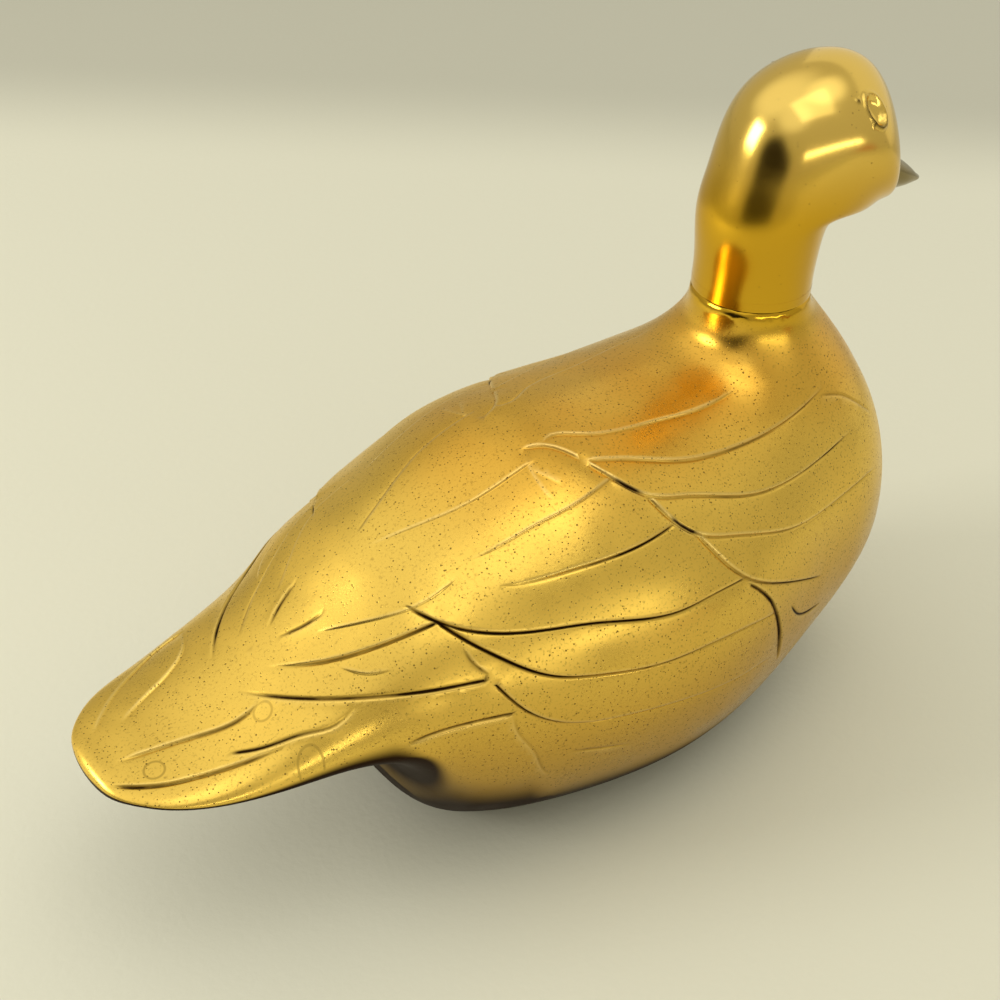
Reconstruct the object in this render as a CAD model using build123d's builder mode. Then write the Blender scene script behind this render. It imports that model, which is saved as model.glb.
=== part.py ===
from build123d import *
import os

# Overall sizes of the duck, in millimetres, bill towards +X and up +Z
body_length = 191.0
head_reach = 48.2
back_height = 84.0
body_width = 92.0
crown_height = 146.2
head_width = 34.4
cast_wall = 3.0
overrun = 1.0

# Felt under the flat of the body
felt_thickness = 1.5
felt_margin = 2.0

# Neck joint: the head's spigot sits in the body's collar, and filler closes the seam
neck_radius = 12.7
neck_place_share = 0.8283
joint_height = 98.0
spigot_length = 9.0
spigot_clearance = 0.2
spigot_wall = 2.3
seam_depth = 1.0

# Eyes: a raised oval with a groove round it
eye_height = 8.5
eye_length = 6.4
eye_relief = 0.7
eye_groove_width = 0.8
eye_groove_depth = 0.5

# Opening in the flat underside, left by the casting core
core_opening_length = 56.0
core_opening_width = 30.0

# Places that follow from those sizes: head_reach is from the neck's axis to the bill's
# tip, and the neck's axis is a share of the body's length ahead of the tail
half_turn = 180.0
overall_length = neck_place_share * body_length + head_reach
tail_x = -overall_length / 2
neck_axis_x = overall_length / 2 - head_reach
head_height = crown_height - joint_height
collar_bore = neck_radius - cast_wall
spigot_radius = collar_bore - spigot_clearance
spigot_bore = spigot_radius - spigot_wall

# Body sections from tail to breast: place along the body, then top, lowest point
# and widest level as shares of the back's height, then half width as a share of the width
body_shares = [
    (0.000, 0.525, 0.490, 0.512, 0.040),
    (0.008, 0.529, 0.477, 0.512, 0.096),
    (0.022, 0.532, 0.472, 0.511, 0.138),
    (0.045, 0.538, 0.464, 0.506, 0.180),
    (0.100, 0.560, 0.452, 0.494, 0.230),
    (0.180, 0.640, 0.430, 0.500, 0.270),
    (0.240, 0.716, 0.415, 0.505, 0.302),
    (0.280, 0.780, 0.350, 0.505, 0.340),
    (0.320, 0.838, 0.110, 0.500, 0.370),
    (0.380, 0.900, -0.015, 0.490, 0.412),
    (0.490, 0.992, -0.080, 0.482, 0.470),
    (0.610, 1.000, -0.114, 0.476, 0.490),
    (0.730, 1.016, -0.104, 0.476, 0.450),
    (0.830, 1.050, -0.020, 0.492, 0.392),
    (0.910, 1.028, 0.125, 0.520, 0.346),
    (0.960, 0.940, 0.235, 0.532, 0.282),
    (0.990, 0.720, 0.390, 0.545, 0.158),
    (1.000, 0.580, 0.510, 0.548, 0.030),
]
row_gap_share = 0.035
hollow_from_share = 0.32
hollow_to_share = 0.96

# Neck root sections, from the body up to the joint, in shares of the neck's radius: back
# point behind the axis and below the joint, front point ahead and below, half width
root_shares = [
    (2.10, 1.75, 2.30, 2.90, 2.30),
    (1.52, 1.05, 2.05, 1.80, 1.80),
    (1.22, 0.72, 1.62, 0.95, 1.38),
    (1.06, 0.44, 1.25, 0.52, 1.13),
    (1.01, 0.20, 1.06, 0.24, 1.03),
    (1.00, 0.00, 1.00, 0.00, 1.00),
]

# Neck sections from the joint up: place along the sweep from the joint to the face, back
# point behind the axis, its height, front point ahead, its height, then half width, in
# shares of the neck's radius and the head's height
neck_shares = [
    (0.00, 1.00, 0.000, 1.00, 0.000, 1.00),
    (0.05, 1.00, 0.070, 0.99, 0.080, 1.00),
    (0.11, 1.01, 0.150, 1.00, 0.173, 1.00),
]

# Head sections, fanning over the crown to the face: place along the sweep, back or top
# point, then front or under point, along the head's reach and up its height, half width
head_shares = [
    (0.23, -0.275, 0.331, 0.312, 0.362, 0.910),
    (0.35, -0.220, 0.535, 0.440, 0.315, 0.910),
    (0.50, -0.102, 0.830, 0.540, 0.292, 0.985),
    (0.63, 0.130, 0.966, 0.578, 0.285, 1.000),
    (0.77, 0.420, 0.964, 0.600, 0.275, 0.690),
    (0.87, 0.540, 0.815, 0.622, 0.288, 0.390),
    (1.00, 0.575, 0.560, 0.635, 0.305, 0.240),
]
head_gap_share = 0.06
eye_along_share = 0.284
eye_up_share = 0.835
eye_out_share = 0.810
eye_facing_shares = (0.25, -1.00, 0.30)

# Hollow of the head: the neck's bore, rounded over at the throat, and a ball in the skull
throat_share = 0.32
skull_share = 0.62
skull_along_share = 0.13
skull_up_share = 0.61

# Bill sections from the face to the tip: place along the head's reach, upper and lower
# edge up the head's height, then half width as a share of the head's
bill_gap_share = 0.06
bill_shares = [
    (0.560, 0.505, 0.258, 0.335),
    (0.680, 0.415, 0.255, 0.345),
    (0.800, 0.340, 0.251, 0.345),
    (0.920, 0.290, 0.249, 0.290),
    (0.980, 0.276, 0.253, 0.190),
    (1.000, 0.268, 0.259, 0.100),
]

# Ends of the flat underside along the body
base_from_share = 0.352
base_to_share = 0.852

# Wing relief on the right side, drawn on a plane slanted between the side and the back:
# place along the body, then height in that plane as a share of the back's height.
# Each outline is a ring of edges, and an edge starts where the last one ended
wing_slant = 45.0
wing_plane_share = 0.36
wing_lift = 0.4
long_feather_lift = 0.8
covert_lift = 1.2
wing_edge_shares = [
    [(0.155, 0.400), (0.225, 0.290), (0.290, 0.230), (0.356, 0.195)],
    [(0.356, 0.195), (0.372, 0.130), (0.398, 0.060), (0.450, 0.000), (0.508, -0.035),
     (0.580, -0.060), (0.650, -0.070), (0.738, -0.060)],
    [(0.738, -0.060), (0.870, -0.030), (0.937, 0.120), (0.935, 0.300), (0.875, 0.450)],
    [(0.875, 0.450), (0.830, 0.490), (0.755, 0.575), (0.618, 0.625), (0.470, 0.590),
     (0.330, 0.535), (0.215, 0.480), (0.155, 0.400)],
]
long_feather_edge_shares = [
    [(0.330, 0.362), (0.382, 0.280), (0.466, 0.210), (0.555, 0.162), (0.660, 0.152)],
    [(0.660, 0.152), (0.700, 0.060), (0.738, -0.060)],
    [(0.738, -0.060), (0.870, -0.030), (0.937, 0.120), (0.935, 0.300), (0.875, 0.450)],
    [(0.875, 0.450), (0.755, 0.560), (0.618, 0.605), (0.470, 0.560), (0.330, 0.362)],
]
covert_edge_shares = [
    [(0.508, 0.620), (0.534, 0.565)],
    [(0.534, 0.565), (0.552, 0.500)],
    [(0.552, 0.500), (0.580, 0.430)],
    [(0.580, 0.430), (0.612, 0.295)],
    [(0.612, 0.295), (0.655, 0.168)],
    [(0.655, 0.168), (0.697, 0.060), (0.738, -0.060)],
    [(0.738, -0.060), (0.870, -0.030), (0.937, 0.120), (0.935, 0.300), (0.875, 0.450)],
    [(0.875, 0.450), (0.755, 0.570), (0.618, 0.640), (0.508, 0.620)],
]


def body_section(shares, inset):
    """The outline of the body at one place, drawn inwards by a wall."""
    along, top, low, belt, half = shares
    belt_height = belt * back_height
    plane = Plane((tail_x + along * body_length, 0, 0), x_dir=(0, 1, 0), z_dir=(1, 0, 0))
    with BuildSketch(plane) as section:
        with BuildLine():
            EllipticalCenterArc(
                (0, belt_height), half * body_width - inset,
                top * back_height - belt_height - inset, start_angle=0, arc_size=half_turn)
            EllipticalCenterArc(
                (0, belt_height), half * body_width - inset,
                belt_height - low * back_height - inset, start_angle=half_turn,
                arc_size=half_turn)
        make_face()
    return section.sketch


def slanted_section(back, front, half_width, inset):
    """An oval in the plane through a back and a front point on the duck's middle line."""
    chord = front - back
    plane = Plane(back + chord / 2, x_dir=chord, z_dir=chord.cross(Vector(0, 1, 0)))
    with BuildSketch(plane) as section:
        Ellipse(chord.length / 2 - inset, half_width - inset)
    return section.sketch


def root_section(shares, inset):
    back_out, back_down, front_out, front_down, half = shares
    return slanted_section(
        Vector(neck_axis_x - back_out * neck_radius, 0, joint_height - back_down * neck_radius),
        Vector(neck_axis_x + front_out * neck_radius, 0, joint_height - front_down * neck_radius),
        half * neck_radius, inset)


def head_section(row, inset):
    """A section of the neck or head from its row of lengths."""
    back_x, back_z, front_x, front_z, half_width = row[1:]
    return slanted_section(
        Vector(neck_axis_x + back_x, 0, joint_height + back_z),
        Vector(neck_axis_x + front_x, 0, joint_height + front_z), half_width, inset)


def smooth_rows(rows, gap_share):
    """The given rows with more between them, on smooth curves through each column."""
    spread = []
    for index in range(len(rows) - 1):
        first, last = rows[index], rows[index + 1]
        before, after = rows[max(index - 1, 0)], rows[min(index + 2, len(rows) - 1)]
        gap = last[0] - first[0]
        count = max(round(gap / gap_share), 1)
        for step in range(count):
            t = step / count
            spread.append(tuple(
                a + gap * t * (
                    (b - a) / gap * t * (3 - 2 * t)
                    + (b - p) / (last[0] - before[0]) * (1 - t) ** 2
                    - (q - a) / (after[0] - first[0]) * t * (1 - t))
                for p, a, b, q in zip(before, first, last, after)))
    return spread + [rows[-1]]


def lofted(sections):
    with BuildPart() as shape:
        loft(sections)
    return shape.part


def head_shape(inset):
    """The neck and head up to the face, drawn inwards by a wall."""
    return lofted([head_section(row, inset) for row in head_rows])


def base_half_width(shares):
    """Half the body's width at the level of its flat underside."""
    top, low, belt, half = shares[1:]
    depth = (belt - felt_thickness / back_height) / (belt - low)
    return half * body_width * (1 - depth**2) ** 0.5


def bill_section(shares):
    along, top, low, half = shares
    top_height = joint_height + top * head_height
    low_height = joint_height + low * head_height
    place = Vector(neck_axis_x + along * head_reach, 0, (top_height + low_height) / 2)
    with BuildSketch(Plane(place, x_dir=(0, 1, 0), z_dir=(1, 0, 0))) as section:
        Ellipse(half * head_width / 2, (top_height - low_height) / 2)
    return section.sketch


def wing_layer(edges, lift):
    """What a lifted copy of the body holds inside a wing outline."""
    slanted = Plane((0, 0, 0), x_dir=(1, 0, 0), z_dir=(0, -1, 0)).rotated((-wing_slant, 0, 0))
    slanted = slanted.offset(wing_plane_share * back_height)
    with BuildPart() as layer:
        with BuildSketch(slanted):
            with BuildLine():
                for edge in edges:
                    points = [(tail_x + along * body_length, up * back_height) for along, up in edge]
                    if len(points) == 2:
                        Line(*points)
                    else:
                        Spline(*points)
            make_face()
        extrude(amount=body_width)
        add(lofted([body_section(row, -lift) for row in body_rows]), mode=Mode.INTERSECT)
    return layer.part


body_rows = smooth_rows(body_shares, row_gap_share)
neck_lengths = [
    (sweep, -back * neck_radius, back_up * head_height, front * neck_radius,
     front_up * head_height, half * neck_radius)
    for sweep, back, back_up, front, front_up, half in neck_shares]
head_lengths = [
    (sweep, top * head_reach, top_up * head_height, under * head_reach,
     under_up * head_height, half * head_width / 2)
    for sweep, top, top_up, under, under_up, half in head_shares]
head_rows = smooth_rows(neck_lengths + head_lengths, head_gap_share)
eye_forward, eye_outward, eye_upward = eye_facing_shares
eye_plane = Plane(
    (neck_axis_x + eye_along_share * head_reach, -eye_out_share * head_width / 2,
     joint_height + eye_up_share * head_height),
    x_dir=(-eye_outward, eye_forward, 0), z_dir=eye_facing_shares)

neck_axis = Axis((neck_axis_x, 0, joint_height), (0, 0, 1))
seam_plane = Plane((neck_axis_x, 0, joint_height), x_dir=(1, 0, 0), z_dir=(0, -1, 0))

# Solid forms that the castings are cut from
body_form = lofted([body_section(row, 0) for row in body_rows])
hollow_rows = [row for row in body_rows if hollow_from_share <= row[0] < hollow_to_share]
with BuildPart() as body_hollow:
    loft([body_section(row, cast_wall) for row in hollow_rows])
    split(bisect_by=Plane.XY.offset(felt_thickness + cast_wall), keep=Keep.TOP)
root_form = lofted([root_section(row, 0) for row in root_shares])
root_hollow = lofted([root_section(row, cast_wall) for row in root_shares[:3]])
throat_height = throat_share * head_height
with BuildPart() as head_hollow:
    with BuildSketch(seam_plane):
        with BuildLine():
            Polyline((0, throat_height + collar_bore), (0, cast_wall), (collar_bore, cast_wall),
                     (collar_bore, throat_height))
            CenterArc((0, throat_height), collar_bore, start_angle=0, arc_size=half_turn / 2)
        make_face()
    revolve(axis=neck_axis)
    with Locations((neck_axis_x + skull_along_share * head_reach, 0,
                    joint_height + skull_up_share * head_height)):
        Sphere(skull_share * head_width / 2)
bill_form = lofted([bill_section(row) for row in smooth_rows(bill_shares, bill_gap_share)])
wing_layers = [
    wing_layer(wing_edge_shares, wing_lift),
    wing_layer(long_feather_edge_shares, long_feather_lift),
    wing_layer(covert_edge_shares, covert_lift),
]

# Seam filler, a ring with its point towards the neck's axis
with BuildPart() as neck_braze:
    with BuildSketch(seam_plane):
        Polygon(
            (neck_radius - seam_depth, 0), (neck_radius, -seam_depth), (neck_radius, seam_depth),
            align=None)
    revolve(axis=neck_axis)
neck_braze.part.label = "neck_braze"

with BuildPart() as seam_cut:
    with BuildSketch(seam_plane):
        Polygon(
            (neck_radius - seam_depth, 0),
            (neck_radius + overrun, -seam_depth - overrun),
            (neck_radius + overrun, seam_depth + overrun),
            align=None)
    revolve(axis=neck_axis)

# Felt: it follows the body's outline where the underside is cut flat
base_rows = [row for row in body_shares if row[2] < 0]
base_from = (tail_x + base_from_share * body_length + felt_margin, 0)
base_to = (tail_x + base_to_share * body_length - felt_margin, 0)
base_side = [
    (tail_x + row[0] * body_length, base_half_width(row) - felt_margin) for row in base_rows]
with BuildPart() as felt_pad:
    with BuildSketch():
        with BuildLine():
            Spline(
                base_from, *[(x, -y) for x, y in base_side],
                base_to, *reversed(base_side), periodic=True)
        make_face()
    extrude(amount=felt_thickness)
felt_pad.part.label = "felt_pad"

# Body: back, breast, tail and the neck's collar in one hollow casting
with BuildPart() as body_casting:
    add(wing_layers)
    mirror(about=Plane.XZ)
    add(body_form)
    add(root_form)
    split(bisect_by=Plane.XY.offset(felt_thickness), keep=Keep.TOP)
    add(body_hollow.part, mode=Mode.SUBTRACT)
    add(root_hollow, mode=Mode.SUBTRACT)
    with Locations((neck_axis_x, 0, joint_height)):
        Hole(collar_bore, spigot_length + cast_wall)
    add(seam_cut.part, mode=Mode.SUBTRACT)
    with BuildSketch(Plane.XY.offset(felt_thickness)):
        with Locations(((base_from[0] + base_to[0]) / 2, 0)):
            Ellipse(core_opening_length / 2, core_opening_width / 2)
    extrude(amount=cast_wall + overrun, mode=Mode.SUBTRACT)
body_casting.part.label = "body_casting"

# Eyes on both sides: the ring that is cut round them, and the raised ovals
with BuildPart() as eye_rings:
    with BuildSketch(eye_plane):
        Ellipse(eye_length / 2 + eye_groove_width, eye_height / 2 + eye_groove_width)
        Ellipse(eye_length / 2, eye_height / 2, mode=Mode.SUBTRACT)
    extrude(amount=eye_height / 2, both=True)
    add(head_shape(eye_groove_depth), mode=Mode.SUBTRACT)
    mirror(about=Plane.XZ)

with BuildPart() as eye_ovals:
    with BuildSketch(eye_plane):
        Ellipse(eye_length / 2, eye_height / 2)
    extrude(amount=eye_height / 2, both=True)
    add(head_shape(-eye_relief), mode=Mode.INTERSECT)
    mirror(about=Plane.XZ)

# Head and neck: a hollow neck, and a spigot that enters the collar
with BuildPart() as head_casting:
    add(head_shape(0))
    add(bill_form)
    with Locations((neck_axis_x, 0, joint_height)):
        Cylinder(spigot_radius, spigot_length, align=(Align.CENTER, Align.CENTER, Align.MAX))
        Hole(spigot_bore, spigot_length)
    add(head_hollow.part, mode=Mode.SUBTRACT)
    add(seam_cut.part, mode=Mode.SUBTRACT)
    add(eye_rings.part, mode=Mode.SUBTRACT)
    add(eye_ovals.part)
head_casting.part.label = "head_casting"

os.makedirs("parts", exist_ok=True)
for casting in (body_casting, head_casting, neck_braze, felt_pad):
    export_step(casting.part, f"parts/{casting.part.label}.step")
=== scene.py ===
"""The looks of a cast brass duck: satin body with carved feathers, polished head and neck, felt base."""
import math

import bmesh
import bpy
import numpy as np
from bpy.props import FloatProperty, FloatVectorProperty, IntProperty, PointerProperty
from mathutils import Matrix, Vector


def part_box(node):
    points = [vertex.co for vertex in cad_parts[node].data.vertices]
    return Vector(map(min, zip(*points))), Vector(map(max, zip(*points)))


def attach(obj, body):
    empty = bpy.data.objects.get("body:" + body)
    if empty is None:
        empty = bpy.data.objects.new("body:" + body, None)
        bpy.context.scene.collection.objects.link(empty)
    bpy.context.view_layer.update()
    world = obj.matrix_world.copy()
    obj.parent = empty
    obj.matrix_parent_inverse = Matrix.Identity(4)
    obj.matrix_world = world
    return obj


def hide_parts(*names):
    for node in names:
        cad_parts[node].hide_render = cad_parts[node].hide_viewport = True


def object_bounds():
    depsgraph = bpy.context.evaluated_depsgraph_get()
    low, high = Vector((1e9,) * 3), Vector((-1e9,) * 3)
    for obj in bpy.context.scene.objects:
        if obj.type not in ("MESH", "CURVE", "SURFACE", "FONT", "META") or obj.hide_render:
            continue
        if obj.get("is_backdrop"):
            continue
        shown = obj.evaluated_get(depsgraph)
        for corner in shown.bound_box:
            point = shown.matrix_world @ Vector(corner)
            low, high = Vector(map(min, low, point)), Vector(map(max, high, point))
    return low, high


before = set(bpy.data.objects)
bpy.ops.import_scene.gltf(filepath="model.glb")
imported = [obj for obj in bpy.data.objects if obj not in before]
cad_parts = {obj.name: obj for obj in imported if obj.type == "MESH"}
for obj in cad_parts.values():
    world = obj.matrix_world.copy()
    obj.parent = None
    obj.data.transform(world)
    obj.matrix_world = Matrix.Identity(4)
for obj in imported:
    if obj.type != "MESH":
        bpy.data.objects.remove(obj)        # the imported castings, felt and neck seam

bl_info = {
    "name": "Brass Duck",
    "version": (1, 0, 0),
    "blender": (4, 5, 0),
    "location": "3D View > Sidebar > Brass Duck",
    "description": "Makes a cast brass duck with layered feathers round its castings",
    "category": "Add Mesh",
}

MM = 0.001
cad_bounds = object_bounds()
body_low, body_high = (Vector(corner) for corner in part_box("body_casting"))
head_low, head_high = (Vector(corner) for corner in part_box("head_casting"))
seam_low, seam_high = (Vector(corner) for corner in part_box("neck_braze"))
felt_low, felt_high = (Vector(corner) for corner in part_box("felt_pad"))
# The middle of the neck's seam
joint = (seam_low + seam_high) / 2

# Body sections from tail to breast: place along the body, then top, lowest point and
# widest level as shares of the back's height, then half width as a share of the width
BODY_SHARES = [
    (0.000, 0.508, 0.508, 0.508, 0.000),
    (0.002, 0.519, 0.490, 0.508, 0.050),
    (0.008, 0.529, 0.477, 0.510, 0.096),
    (0.022, 0.532, 0.472, 0.510, 0.138),
    (0.045, 0.538, 0.464, 0.506, 0.180),
    (0.100, 0.560, 0.452, 0.494, 0.230),
    (0.180, 0.640, 0.430, 0.500, 0.270),
    (0.240, 0.716, 0.415, 0.505, 0.302),
    (0.280, 0.780, 0.350, 0.505, 0.340),
    (0.320, 0.838, 0.110, 0.500, 0.370),
    (0.380, 0.900, -0.015, 0.490, 0.412),
    (0.490, 0.992, -0.080, 0.482, 0.470),
    (0.610, 1.000, -0.114, 0.476, 0.490),
    (0.730, 1.016, -0.104, 0.476, 0.450),
    (0.830, 1.050, -0.020, 0.492, 0.392),
    (0.910, 1.028, 0.125, 0.520, 0.346),
    (0.960, 0.940, 0.235, 0.532, 0.282),
    (0.990, 0.720, 0.390, 0.545, 0.158),
    (0.998, 0.605, 0.485, 0.546, 0.060),
    (1.000, 0.546, 0.546, 0.546, 0.000),
]

# Head sections, fanning from the neck over the crown to the bill's tip: back or top
# point, then front or under point, along the head's reach and up its height, then half width
HEAD_SHARES = [
    (-0.2635, 0.000, 0.2635, 0.000, 0.738),
    (-0.263, 0.070, 0.262, 0.080, 0.738),
    (-0.266, 0.150, 0.264, 0.173, 0.752),
    (-0.270, 0.331, 0.300, 0.362, 0.825),
    (-0.220, 0.535, 0.440, 0.315, 0.915),
    (-0.102, 0.830, 0.540, 0.292, 0.985),
    (0.130, 0.966, 0.578, 0.285, 1.000),
    (0.420, 0.964, 0.600, 0.275, 0.690),
    (0.540, 0.815, 0.633, 0.275, 0.390),
    (0.575, 0.545, 0.668, 0.275, 0.290),
    (0.655, 0.505, 0.700, 0.262, 0.315),
    (0.740, 0.455, 0.765, 0.254, 0.305),
    (0.830, 0.392, 0.840, 0.249, 0.265),
    (0.920, 0.325, 0.922, 0.249, 0.190),
    (0.975, 0.280, 0.976, 0.252, 0.115),
    (0.994, 0.270, 0.994, 0.256, 0.060),
    (1.000, 0.263, 1.000, 0.263, 0.000),
]

# How the hull runs up into the neck, behind it, beside it and ahead of it: distance
# from the neck's axis where the flare starts, then the reach of its two handles
FLARE_MM = {
    "back": (21.5, 9.0, 7.5),
    "side": (26.0, 11.0, 6.5),
    "front": (29.0, 13.0, 3.5),
}

# Feather edges on the wing, in millimetres from the tail's tip and up a drawing plane
# that leans 45 degrees against the side. Each has its form, height share, darkness at its
# first and last end, length that fades in and out, then the points. Seen from outside,
# the upper feather is on the left
WING_SLANT = math.radians(45)
WING_LINES_MM = [
    ("step", 0.7, (0.1, 0.1), (3, 10),
     [(97, 53), (99, 54), (106, 52), (114, 50), (123, 49), (133, 48), (144, 49)]),
    ("step", 0.8, (0.1, 0.2), (2, 1), [(93, 54), (97, 53), (102, 47)]),
    ("step", 0.8, (0.1, 0.7), (2, 10),
     [(102, 47), (111, 44), (121, 40), (134, 38), (142, 38), (155, 40), (164, 43)]),
    ("step", 0.9, (0.1, 0.8), (1, 12),
     [(102, 47), (105, 42), (110, 36), (118, 33), (133, 28), (151, 28), (169, 32)]),
    ("step", 1.0, (0.1, 0.8), (1, 12),
     [(110, 36), (113, 29), (117, 25), (125, 22), (142, 18), (164, 20), (176, 22)]),
    ("step", 1.0, (0.2, 1.0), (1, 8), [(117, 25), (121, 18), (126, 13), (135, 9), (154, 5)]),
    ("step", 0.9, (0.8, 1.0), (1, 6), [(126, 12), (130, 9), (135, 3), (138, -3), (141, -9)]),
    ("groove", 0.9, (1.0, 0.7), (2, 3), [(105, 42), (108, 38), (110, 36)]),
    ("groove", 0.9, (0.9, 1.0), (3, 2), [(112, 31), (114, 28), (117, 25)]),
    ("groove", 0.8, (0.9, 0.6), (3, 4), [(140, 3), (144, 0), (148, -1), (157, -1)]),
    ("groove", 0.5, (0.6, 0.6), (4, 4), [(160, 41), (168, 39), (173, 36), (178, 33)]),
    ("step", 0.5, (0.0, 0.1), (6, 3), [(60, 48), (68, 48), (78, 48), (89, 50), (94, 51)]),
    ("step", 0.6, (0.1, 0.1), (10, 1), [(72, 38), (76, 38), (85, 39), (96, 40), (105, 42)]),
    ("step", 0.8, (0.5, 0.9), (14, 2), [(74, 32), (80, 30), (87, 29), (97, 28), (105, 28), (113, 29)]),
    ("step", 0.9, (0.9, 1.0), (5, 2),
     [(59, 36), (63, 30), (73, 23), (89, 18), (98, 15), (107, 13), (116, 13), (126, 13)]),
    ("step", 1.1, (1.0, 0.7), (1, 3),
     [(63, 30), (66, 25), (70, 20), (79, 12), (89, 8), (101, 5), (115, 4), (135, 3)]),
    ("step", 0.6, (0.6, 0.6), (3, 1), [(65, 24), (66, 20), (68, 17)]),
    ("step", 1.0, (0.8, 0.6), (1, 14),
     [(68, 16), (73, 8), (81, 2), (94, -2), (111, -5), (123, -6), (137, -6)]),
    ("step", 0.9, (0.5, 0.8), (10, 1), [(35, 35), (42, 32), (55, 30), (63, 30)]),
    ("groove", 0.9, (0.9, 1.0), (8, 2), [(29, 33), (34, 29), (43, 24), (56, 19), (68, 16)]),
    ("groove", 1.2, (0.8, 1.0), (5, 1), [(50, 11), (54, 11), (62, 10), (71, 8)]),
    ("groove", 0.5, (0.4, 0.4), (3, 6), [(71, 8), (71, 6), (75, -1), (78, -6), (81, -8)]),
    ("groove", 0.5, (0.6, 0.4), (5, 8), [(82, -4), (91, -7), (98, -9)]),
    ("groove", 0.7, (0.9, 0.9), (3, 3), [(40, 39), (45, 39), (49, 40)]),
    ("step", 0.4, (0.0, 0.1), (4, 4), [(45, 37), (53, 35), (62, 34), (70, 36)]),
    ("step", 0.4, (0.0, 0.0), (4, 4), [(45, 30), (49, 26), (53, 25)]),
    ("groove", 0.4, (0.0, 0.0), (2, 2), [(91, 42), (91, 48), (92, 52)]),
    ("groove", 0.4, (0.0, 0.0), (2, 2), [(95, 44), (91, 50)]),
]

# Feather edges on the tail, seen from above: distance from the tail's tip and to the left
TAIL_LINES_MM = [
    ("step", 0.5, (0.0, 0.1), (4, 3), [(5, 6), (12, 13), (20, 18), (27, 20), (31, 19)]),
    ("step", 0.5, (0.0, 0.1), (4, 3), [(10, 5), (16, 8), (22, 10), (27, 13), (30, 19)]),
    ("step", 0.7, (0.2, 0.6), (5, 4), [(5, -3), (13, -5), (19, -7), (27, -10), (32, -10)]),
    ("groove", 0.8, (0.9, 0.4), (3, 6), [(22, -14), (27, -17), (35, -20), (40, -22), (46, -22)]),
    ("step", 0.8, (0.9, 0.4), (4, 8), [(2, -7), (9, -12), (17, -15), (23, -17), (32, -20)]),
    ("groove", 0.6, (0.8, 0.8), (1, 1), [(35, 1), (36, 0)]),
]

# How feathers are cut: points along an edge, the least share by which a face looks at the
# drawing plane, how far from an edge the cuts and the relief reach, and the distances from
# it, in groove widths, where the relief needs vertices
PATH_POINTS = 60
LEAST_FACING = 0.12
CUT_MARGIN_MM = 3
RELIEF_MARGIN_MM = 14
RELIEF_OFFSETS = {
    "step": (-1.3, -0.8, -0.5, -0.25, 0.0, 0.2, 0.5, 1.2),
    "groove": (-1.1, -0.6, -0.3, 0.0, 0.3, 0.6, 1.1),
}

# Rings that drops have left on the tail: distance from the tail's end, place across and
# radius, then how their line fades and how dark it is
STAIN_RINGS_MM = [(31, -12, 1.7), (10, -9, 1.9), (34, -24, 2.4)]
STAIN_LINE_MM = (0.1, 0.35)
STAIN_DARKNESS = 0.35

# Eye centre along the head's reach, up its height and out to its half width, the way it
# faces, and the share of its size that stands out
EYE_SHARES = (0.284, 0.835, 0.810)
EYE_FACING = (0.25, -1.00, 0.30)
EYE_BALL_SHARE = 0.70
# Height of its ball, and depth of the groove round it ahead and behind, in millimetres
EYE_BALL_MM = 1.5
EYE_GROOVE_MM = (0.25, 0.60)
# Marks cut behind it: place and spread in half balls forwards and up, and depth in millimetres
EYE_MARKS = [
    ((-1.05, -0.75), (0.16, 0.20), 0.4),
    ((-1.50, 0.90), (0.20, 0.13), 0.3),
]

# How square the felt's outline is: 1 is an ellipse, and less is fuller
FELT_SQUARENESS = 0.9

# Segments round the felt, the seam's ring and the floor, points along the hull that the
# neck's flare starts from, and the least bend of an edge that stays sharp
FELT_SEGMENTS = 96
SEAM_SEGMENTS = 128
FLOOR_SEGMENTS = 64
HULL_POINTS = 4000
SHARP_ANGLE = math.radians(35)

# The photograph's camera: place it looks at, distance and angles, and lens
CAMERA_TARGET_MM = (-9.7, 0.0, 66.2)
CAMERA_AZIMUTH = 52.2
CAMERA_ELEVATION = 36.7
CAMERA_ROLL = 2.6
CAMERA_DISTANCE_MM = 312.0
CAMERA_FOCUS_PX = 1531.0
PHOTO_PX = 1000.0
SENSOR_MM = 36.0

# Floor: its radius and the distance past the duck over which painted shade darkens it, in
# metres, how dark that painted shade gets, and its weave as waves per metre, detail and height in
# millimetres
FLOOR_RADIUS = 3.0
FLOOR_SHADE_RANGE = (0.29, 0.39)
FLOOR_SHADE_SHARE = 0.72
FLOOR_WEAVE = (500, 3, 0.2)

# Heights between which the brass changes, in metres: the polish below the neck's seam,
# the warm upper back, the painted shade of the lower flanks, and the head's paler top over the painted
# darker reflection of its neck
POLISH_RISE = (0.089, 0.098)
WARM_BACK_RISE = (0.070, 0.084)
FLANK_SHADE_RISE = (0.034, 0.064)
HEAD_SHADE_RISE = (0.116, 0.138)

# Places along the duck between which it changes, in metres from its middle: the painted
# shade of the flanks starts, the tail ends, the painted shade of the stern ends above and at its rim, the
# bill's painted reflection starts
FLANK_SHADE_START = (-0.070, -0.040)
TAIL_END = (-0.055, -0.042)
STERN_SHADE_END = (-0.045, -0.020)
STERN_RIM_SHADE_END = (-0.036, 0.030)
BILL_REFLECTION_START = (0.084, 0.089)

# Heights of the painted shade underneath, with some tarnish, on the hull and at the stern, in metres:
# that on what faces down, with the height over which it fades, and that of the rim
UNDERSIDE_SHADE_HEIGHTS = (0.012, 0.072)
UNDERSIDE_SHADE_FADE = 0.012
RIM_SHADE_HEIGHTS = (0.008, 0.015)

# Casting pits: cells per metre and a pit's radius as a share of a cell, then their depth
PIT_SIZES = [(640, 0.16), (1300, 0.24), (300, 0.08)]
PIT_DEPTH_MM = 0.02
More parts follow.
